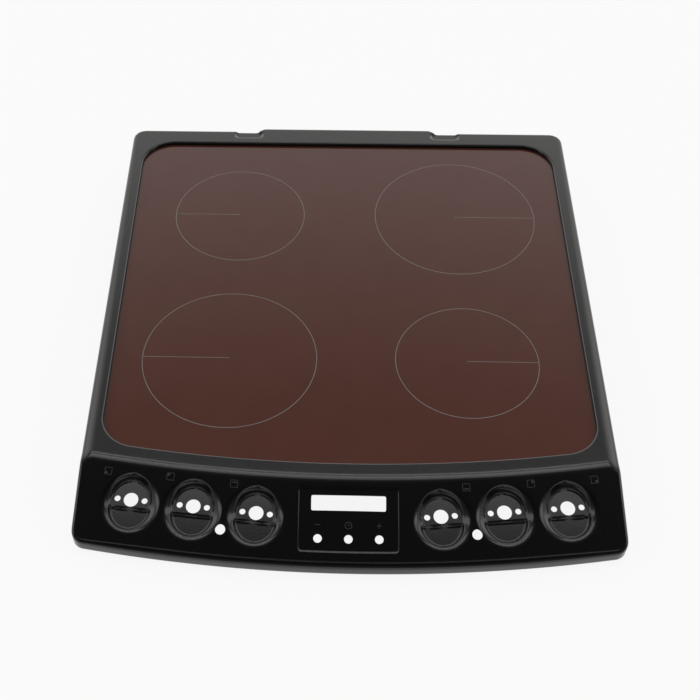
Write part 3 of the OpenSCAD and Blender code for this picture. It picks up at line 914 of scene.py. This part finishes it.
@dataclass
class Prints:
    """Raised prints: the cooking zones' rings and the signs on the fascia."""

    pressing: Pressing
    stroke: float = 0.75
    rings: tuple[float, float] = (78.0, 95.8)
    centres: tuple[float, float, float] = (130.0, -153.0, -381.3)
    height: float = 0.05
    clearance: float = 0.02
    square: float = 3.6
    spot: float = 1.8
    bar: float = 2.4
    fine: float = 0.42
    bold: float = 0.9
    above_buttons: float = 12.5

    def strip(self, path: np.ndarray, width: float, closed: bool) -> tuple[np.ndarray, np.ndarray]:
        """A flat raised line along a path in its own plane.

        Each point of the path moves half the width to either side along the mean of its two
        neighbours' directions turned a quarter, and the outline gets a top and short sides.
        """
        if closed:
            tangent = np.roll(path, -1, axis=0) - np.roll(path, 1, axis=0)
        else:
            tangent = np.gradient(path, axis=0)
        tangent /= np.linalg.norm(tangent, axis=1, keepdims=True)
        side = np.stack([-tangent[:, 1], tangent[:, 0]], -1) * width / 2
        if not closed:
            path = np.concatenate([path[:1], path, path[-1:]])
            side = np.pad(side, ((1, 1), (0, 0)))
        low, top = np.zeros(len(path)), np.full(len(path), self.height)
        rows = [np.column_stack([path + side, low]), np.column_stack([path + side, top]),
                np.column_stack([path - side, top]), np.column_stack([path - side, low])]
        return np.concatenate(rows + rows[:1]), quads(5, len(path), closed)[:, ::-1]

    def joined(self, parts: list) -> tuple[np.ndarray, np.ndarray]:
        """Several surfaces as one."""
        starts = np.cumsum([0] + [len(points) for points, _ in parts])
        return (np.concatenate([points for points, _ in parts]),
                np.concatenate([faces + start for (_, faces), start in zip(parts, starts)]))

    def zones(self, finish: bpy.types.Material) -> list[bpy.types.Object]:
        """A ring and a pointer from its middle outwards for each cooking zone."""
        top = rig.box("glass_panel")[1].z / MM - self.pressing.lift[2]
        made = []
        across, rear, front = self.centres
        for name in ZONES:
            side = -1 if name.endswith("left") else 1
            row = rear if name.startswith("rear") else front
            radius = self.rings[int(name in ("rear_right", "front_left"))]
            a = np.linspace(0, 2 * math.pi, 241)[:-1]
            ring = np.stack([side * across + radius * np.cos(a), row + radius * np.sin(a)], -1)
            pointer = line((side * across, row), (side * (across + radius), row), 12)
            points, faces = self.joined([self.strip(ring, self.stroke, True),
                                         self.strip(pointer, self.stroke * 0.8, False)])
            points[:, 2] += top
            made.append(piece(f"zone_print_{name}", self.pressing.to_row(points), faces, finish))
        return made

    def on_slope(self, x: float, run: float, marks: list) -> tuple[np.ndarray, np.ndarray]:
        """Marks drawn in a small plane laid on the fascia at x and a run from the deck's edge."""
        deck = self.pressing.deck
        turn = math.asin(x / (deck + run))
        points, faces = self.joined(marks)
        tilt = math.radians(self.pressing.fascia_slope)
        flat = points[:, 1] * math.cos(tilt) - points[:, 2] * math.sin(tilt) - deck - run
        rise = points[:, 1] * math.sin(tilt) + points[:, 2] * math.cos(tilt)
        c, s = math.cos(turn), math.sin(turn)
        sunk = self.pressing.panel[3] if abs(x) < self.pressing.panel[0] / 2 else 0.0
        placed = np.stack([points[:, 0] * c - flat * s, points[:, 0] * s + flat * c + self.pressing.axis,
                           self.pressing.slope(deck + run) + rise - sunk + self.clearance], -1)
        return placed, faces

    def signs(self, finish: bpy.types.Material) -> list[bpy.types.Object]:
        """The six small squares that say which zone a knob serves, and three button signs."""
        square = np.array([[-1, -1], [1, -1], [1, 1], [-1, 1]]) * self.square
        square = np.concatenate([line(square[k], square[(k + 1) % 4], 9)[:-1] for k in range(4)])
        frame_mark = self.strip(square, self.fine, True)

        def spot(across: int, along_slope: int) -> tuple[np.ndarray, np.ndarray]:
            """A dot in one corner of the square."""
            ring = arc((across * self.spot, along_slope * self.spot), 0.8, 0, 360, 17)[:-1]
            return self.strip(ring, self.bold, True)

        def rule(rise: float) -> tuple[np.ndarray, np.ndarray]:
            """A bar across the square."""
            return self.strip(line((-self.bar, rise), (self.bar, rise), 6), self.bold, False)

        marks = {
            "sign_1": (-245.1, -533.8, spot(-1, -1)), "sign_2": (-180.7, -540.3, spot(-1, 1)),
            "sign_3": (-115.7, -547.3, rule(1.4)), "sign_4": (118.1, -546.6, rule(-1.6)),
            "sign_5": (183.3, -540.4, spot(1, 1)), "sign_6": (247.9, -533.5, spot(1, -1)),
        }
        made = []
        for name, (x, y, mark) in marks.items():
            run = math.hypot(x, y - self.pressing.axis) - self.pressing.deck
            made.append((name, self.on_slope(x, run, [frame_mark, mark])))
        pitch, run = self.pressing.buttons[1], self.pressing.buttons[2] - self.above_buttons
        bar = self.strip(line((-2.6, 0), (2.6, 0), 6), 0.6, False)
        post = self.strip(line((0, -2.6), (0, 2.6), 6), 0.6, False)
        dial = self.strip(arc((0, 0), 3.4, 0, 360, 41)[:-1], 0.55, True)
        hands = self.strip(np.array([[0, 2.2], [0, 1], [0, 0], [1, 0], [1.9, 0]]), 0.5, False)
        made.append(("button_minus", self.on_slope(-pitch, run, [bar])))
        made.append(("button_clock", self.on_slope(0, run, [dial, hands])))
        made.append(("button_plus", self.on_slope(pitch, run, [bar, post])))
        return [piece(name, self.pressing.to_row(points), faces, finish) for name, (points, faces) in made]


# ---- Springs ----------------------------------------------------------------------------


@dataclass
class Springs:
    """The pair of coil springs that press one heater up against the glass."""

    zone: str
    wire: float = 1.0
    turns: float = 4.5
    keep: float = 0.53

    def build(self, finish: bpy.types.Material) -> bpy.types.Object:
        """A round wire along a helix with its end turns lying flat, twice.

        The helix's height follows the turn as a smooth step at both ends, and the wire's circle
        stands across the path.
        """
        low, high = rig.box(f"springs_{self.zone}")
        coil = (high.y - low.y) / 2
        thick = self.wire * MM / 2
        reach = coil - thick
        a = np.linspace(0, 2 * math.pi * self.turns, int(self.turns * 28))
        share = np.clip((a / a[-1] - 0.14) / 0.72, 0, 1)
        tall = low.z + thick + share * (high.z - low.z - 2 * thick)
        b = np.linspace(0, 2 * math.pi, 11)[:-1]
        parts = []
        for x in (low.x + coil, high.x - coil):
            away = reach + thick * np.cos(b)[None, :]
            points = np.stack([x + away * np.cos(a)[:, None],
                               (low.y + high.y) / 2 + away * np.sin(a)[:, None],
                               tall[:, None] + thick * np.sin(b)[None, :]], -1)
            tips = points[[0, -1]].mean(axis=1, keepdims=True).repeat(len(b), axis=1)
            points = np.concatenate([tips[:1], points, tips[1:]])
            parts.append((points.reshape(-1, 3), quads(len(points), len(b), True)[:, ::-1]))
        points = np.concatenate([p for p, _ in parts])
        faces = np.concatenate([f + k * len(parts[0][0]) for k, (_, f) in enumerate(parts)])
        made = piece(f"coil_pair_{self.zone}", points, faces, finish)
        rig.ride(made, TOP_BODY)
        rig.replaces(made, f"springs_{self.zone}")
        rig.slot(made, "spring_steel")
        middle = ((low.x + high.x) / 2, (low.y + high.y) / 2, low.z)
        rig.squash(made, f"heater_float_{self.zone}", axis=(0, 0, 1), anchor=middle, keep=self.keep)
        return made


# ---- Stage ------------------------------------------------------------------------------


@dataclass
class Studio:
    """Floor, light and camera."""

    eye: tuple[float, float, float] = (-0.0355, -0.9387, 1.0741)
    tilt: tuple[float, float, float] = (49.495, -2.635, -1.086)
    lens: float = 63.10
    shift: float = 0.1014
    white: float = 1.0

    def camera(self) -> None:
        """A camera that looks down at the hob from in front."""
        pitch, yaw, roll = (math.radians(a) for a in self.tilt)
        level_part = math.cos(pitch)
        ahead = Vector((math.sin(yaw) * level_part, math.cos(yaw) * level_part, -math.sin(pitch)))
        right = Vector((math.cos(yaw), -math.sin(yaw), 0))
        up = right.cross(ahead)
        level = right * math.cos(roll) + up * math.sin(roll)
        upright = up * math.cos(roll) - right * math.sin(roll)
        data = bpy.data.cameras.new("hob_camera")
        data.lens = self.lens
        data.shift_x = self.shift
        camera = bpy.data.objects.new("hob_camera", data)
        turn = Matrix((level, upright, -ahead)).transposed().to_4x4()
        camera.matrix_world = Matrix.Translation(self.eye) @ turn
        bpy.context.scene.collection.objects.link(camera)
        bpy.context.scene.camera = camera

    def lamp(self, name: str, place: tuple, aim: tuple, size: tuple, power: float) -> None:
        """One soft rectangular lamp at place, turned towards aim."""
        data = bpy.data.lights.new(name, "AREA")
        data.shape = "RECTANGLE"
        data.size, data.size_y = size
        data.energy = power
        made = bpy.data.objects.new(name, data)
        made.location = place
        made.rotation_euler = (Vector(aim) - Vector(place)).to_track_quat("-Z", "Y").to_euler()
        bpy.context.scene.collection.objects.link(made)

    def world(self) -> None:
        """A studio round the object: pale at the horizon, dim overhead and in front.

        The brightness is a ramp that falls with the sine of the elevation, dimmed towards the
        front, plus a pale wall low behind the hob and a faint glow above it.
        """
        world = bpy.data.worlds.new("studio")
        world.use_nodes = True
        bpy.context.scene.world = world
        mix = Recipe(world.node_tree)
        ray = mix.node("ShaderNodeTexCoord", {}, {}, "Generated")
        split = mix.tree.nodes.new("ShaderNodeSeparateXYZ")
        mix.tree.links.new(ray.socket, split.inputs[0])
        back, tall = Value(mix, split.outputs[1]), Value(mix, split.outputs[2])
        base = tall.lift(0.18, 0.78, 0.85, 0.08) * back.lift(-0.55, 0.10, 0.30, 1.0)
        low = tall.lift(0.80, 0.60) * 0.85
        rear = back.lift(0.08, 0.26) * (tall.lift(0.985, 0.925) * 0.22 + low)
        strength = base + rear
        ports = {"Color": (1.0, 0.985, 0.97, 1), "Strength": strength}
        glow = mix.node("ShaderNodeBackground", {}, ports)
        mix.finish("ShaderNodeOutputWorld", glow)

    def floor(self) -> None:
        """A pale floor that stays white to the eye and keeps a soft shadow."""
        half = 6.0
        corners = np.array([[-half, -half, 0], [half, -half, 0], [half, half, 0], [-half, half, 0]])
        stuff = bpy.data.materials.new("pale_floor")
        stuff.use_nodes = True
        mix = Recipe(stuff.node_tree)
        grain = mix.noise(mix.place(), 3.0)
        tone = mix.blend(grain, (0.80, 0.80, 0.80, 1), (0.83, 0.83, 0.83, 1))
        matt = mix.node("ShaderNodeBsdfDiffuse", {}, {"Color": tone})
        glow = mix.node("ShaderNodeEmission", {}, {"Color": (1, 1, 1, 1), "Strength": self.white})
        path = mix.tree.nodes.new("ShaderNodeLightPath")
        kinds = ("Is Camera Ray", "Is Glossy Ray", "Is Transmission Ray")
        seen = [Value(mix, path.outputs[kind]) for kind in kinds]
        share = (seen[0] + seen[1] + seen[2]).lift(0, 1, 0, 0.9)
        both = mix.node("ShaderNodeMixShader", {}, {0: share, 1: matt, 2: glow})
        under = mix.node("ShaderNodeNewGeometry", {}, {}, "Backfacing")
        clear = mix.node("ShaderNodeBsdfTransparent", {}, {})
        sided = mix.node("ShaderNodeMixShader", {}, {0: under, 1: both, 2: clear})
        mix.finish("ShaderNodeOutputMaterial", sided)
        floor = piece("studio_floor", corners, np.array([[0, 1, 2, 3]]), stuff)
        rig.stage(floor)

    def build(self) -> None:
        """Sets up everything round the object."""
        bpy.context.scene.view_settings.view_transform = "Standard"
        self.camera()
        self.world()
        self.floor()
        self.lamp("rear_strip", (0.0, 1.34, 3.0), (0, 0, 0), (3.4, 0.26), 8.0)
        self.lamp("middle_strip", (0.0, 0.66, 3.0), (0, 0, 0), (3.4, 0.24), 8.0)
        self.lamp("overhead_soft", (0.0, 0.24, 3.0), (0, 0, 0), (3.4, 0.44), 6.5)
        self.lamp("left_soft", (-2.3, -0.6, 1.8), (0, 0, 0), (0.8, 1.6), 6.0)
        self.lamp("right_soft", (2.3, -0.4, 1.8), (0, 0, 0), (0.8, 1.6), 6.0)


def dress(finishes: dict[Finish, bpy.types.Material]) -> None:
    """Gives every CAD node that stays in view its finish."""
    for name, node in frame["nodes"].items():
        finish = NODE_FINISH.get(name)
        for part, own in PART_FINISH.items():
            if name.startswith(part + "_") and name[len(part) + 1:] in ZONES:
                finish = own
        if finish is None:
            continue
        node.data.materials.clear()
        node.data.materials.append(finishes[finish])
        LOG.info("%s: %s", name, finish.name)


def main() -> None:
    """Builds and dresses every piece, then the stage."""
    logging.basicConfig(level=logging.INFO, format="%(message)s")
    every = {f for f in globals().values() if isinstance(f, Finish)}
    finishes = {f: f.make() for f in sorted(every, key=lambda f: f.name)}
    dress(finishes)
    pressing = Pressing(skin=finishes[ENAMEL])
    for made in pressing.build():
        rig.ride(made, TOP_BODY)
        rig.replaces(made, "hob_pressing")
        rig.slot(made, "enamel")
    prints = Prints(pressing)
    for made in prints.zones(finishes[PRINT]) + prints.signs(finishes[PALE_PRINT]):
        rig.ride(made, TOP_BODY)
    for zone in ZONES:
        Springs(zone).build(finishes[SPRING])
    Studio().build()
    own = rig.bounds()
    with open(SIZE_FILE, "w") as out:
        json.dump({"cad": [list(c) for c in CAD_BOX], "visual": [list(c) for c in own]}, out)


if __name__ == "__main__":
    main()
